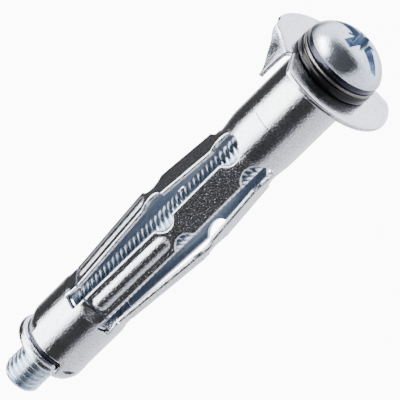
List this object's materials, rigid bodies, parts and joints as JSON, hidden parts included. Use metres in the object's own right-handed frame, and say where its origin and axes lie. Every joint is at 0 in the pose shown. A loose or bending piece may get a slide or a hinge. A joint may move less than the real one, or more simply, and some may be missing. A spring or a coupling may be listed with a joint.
{
  "type": "wall anchor",
  "caption": "Hollow-wall anchor: pan-head machine screw with washer and rubber ring in a flanged, spiked metal sleeve whose slotted legs fold out behind a panel and grip it.",
  "frame": {"origin": "centre of the flange's underside, the face that seats on the wall", "axes": "+Z along the screw out of the wall towards its head; leg 1 points along -Y"},
  "size_m": [0.0169, 0.017, 0.0637],
  "materials": {
    "screw": "bright zinc-plated",
    "washer": "satin zinc-plated",
    "rubber": "smooth, slightly glossy black",
    "sleeve": "bright zinc-plated sheet",
    "nut": "bright zinc-plated"
  },
  "bodies": {
    "sleeve": {"sleeve_head": "sleeve"},
    "washers": {"washer": "washer", "seal_ring": "rubber"},
    "screw": {"screw": "screw"},
    "leg_1_top": {"leg_1_upper": "sleeve"},
    "leg_1_bottom": {"leg_1_lower": "sleeve"},
    "leg_2_top": {"leg_2_upper": "sleeve"},
    "leg_2_bottom": {"leg_2_lower": "sleeve"},
    "leg_3_top": {"leg_3_upper": "sleeve"},
    "leg_3_bottom": {"leg_3_lower": "sleeve"},
    "leg_4_top": {"leg_4_upper": "sleeve"},
    "leg_4_bottom": {"leg_4_lower": "sleeve"},
    "leg_5_top": {"leg_5_upper": "sleeve"},
    "leg_5_bottom": {"leg_5_lower": "sleeve"},
    "collar": {"sleeve_collar": "sleeve", "nut": "nut"}
  },
  "joints": [
    {"name": "screw_rise", "type": "slide", "parent": "sleeve", "child": "washers", "axis": [0, 0, 1], "range_m": [0, 0.012]},
    {"name": "screw_turn", "type": "hinge", "parent": "washers", "child": "screw", "pos_m": [0, 0, 0.00223], "axis": [0, 0, 1], "range_deg": [0, 5400]},
    {"name": "leg_1_fold", "type": "hinge", "parent": "sleeve", "child": "leg_1_top", "pos_m": [0, -0.00382, -0.0133], "axis": [-1, 0, 0], "range_deg": [0, 75]},
    {"name": "leg_1_knee", "type": "hinge", "parent": "leg_1_top", "child": "leg_1_bottom", "pos_m": [0, -0.00456, -0.02715], "axis": [-1, 0, 0], "range_deg": [-150, 0]},
    {"name": "leg_2_fold", "type": "hinge", "parent": "sleeve", "child": "leg_2_top", "pos_m": [0.00363, -0.00118, -0.0133], "axis": [-0.309, -0.9511, 0], "range_deg": [0, 75]},
    {"name": "leg_2_knee", "type": "hinge", "parent": "leg_2_top", "child": "leg_2_bottom", "pos_m": [0.00434, -0.00141, -0.02715], "axis": [-0.309, -0.9511, 0], "range_deg": [-150, 0]},
    {"name": "leg_3_fold", "type": "hinge", "parent": "sleeve", "child": "leg_3_top", "pos_m": [0.00225, 0.00309, -0.0133], "axis": [0.809, -0.5878, 0], "range_deg": [0, 75]},
    {"name": "leg_3_knee", "type": "hinge", "parent": "leg_3_top", "child": "leg_3_bottom", "pos_m": [0.00268, 0.00369, -0.02715], "axis": [0.809, -0.5878, 0], "range_deg": [-150, 0]},
    {"name": "leg_4_fold", "type": "hinge", "parent": "sleeve", "child": "leg_4_top", "pos_m": [-0.00225, 0.00309, -0.0133], "axis": [0.809, 0.5878, 0], "range_deg": [0, 75]},
    {"name": "leg_4_knee", "type": "hinge", "parent": "leg_4_top", "child": "leg_4_bottom", "pos_m": [-0.00268, 0.00369, -0.02715], "axis": [0.809, 0.5878, 0], "range_deg": [-150, 0]},
    {"name": "leg_5_fold", "type": "hinge", "parent": "sleeve", "child": "leg_5_top", "pos_m": [-0.00363, -0.00118, -0.0133], "axis": [-0.309, 0.9511, 0], "range_deg": [0, 75]},
    {"name": "leg_5_knee", "type": "hinge", "parent": "leg_5_top", "child": "leg_5_bottom", "pos_m": [-0.00434, -0.00141, -0.02715], "axis": [-0.309, 0.9511, 0], "range_deg": [-150, 0]},
    {"name": "collar_pivot", "type": "hinge", "parent": "leg_1_bottom", "child": "collar", "pos_m": [0, -0.00382, -0.041], "axis": [-1, 0, 0], "range_deg": [0, 75]}
  ],
  "couplings": [
    {"joint": "screw_turn", "follows": "screw_rise", "rad_per_m": 7854},
    {"joint": "leg_1_knee", "follows": "leg_1_fold", "ratio": -2},
    {"joint": "leg_2_fold", "follows": "leg_1_fold", "ratio": 1},
    {"joint": "leg_2_knee", "follows": "leg_1_fold", "ratio": -2},
    {"joint": "leg_3_fold", "follows": "leg_1_fold", "ratio": 1},
    {"joint": "leg_3_knee", "follows": "leg_1_fold", "ratio": -2},
    {"joint": "leg_4_fold", "follows": "leg_1_fold", "ratio": 1},
    {"joint": "leg_4_knee", "follows": "leg_1_fold", "ratio": -2},
    {"joint": "leg_5_fold", "follows": "leg_1_fold", "ratio": 1},
    {"joint": "leg_5_knee", "follows": "leg_1_fold", "ratio": -2},
    {"joint": "collar_pivot", "follows": "leg_1_fold", "ratio": 1}
  ]
}
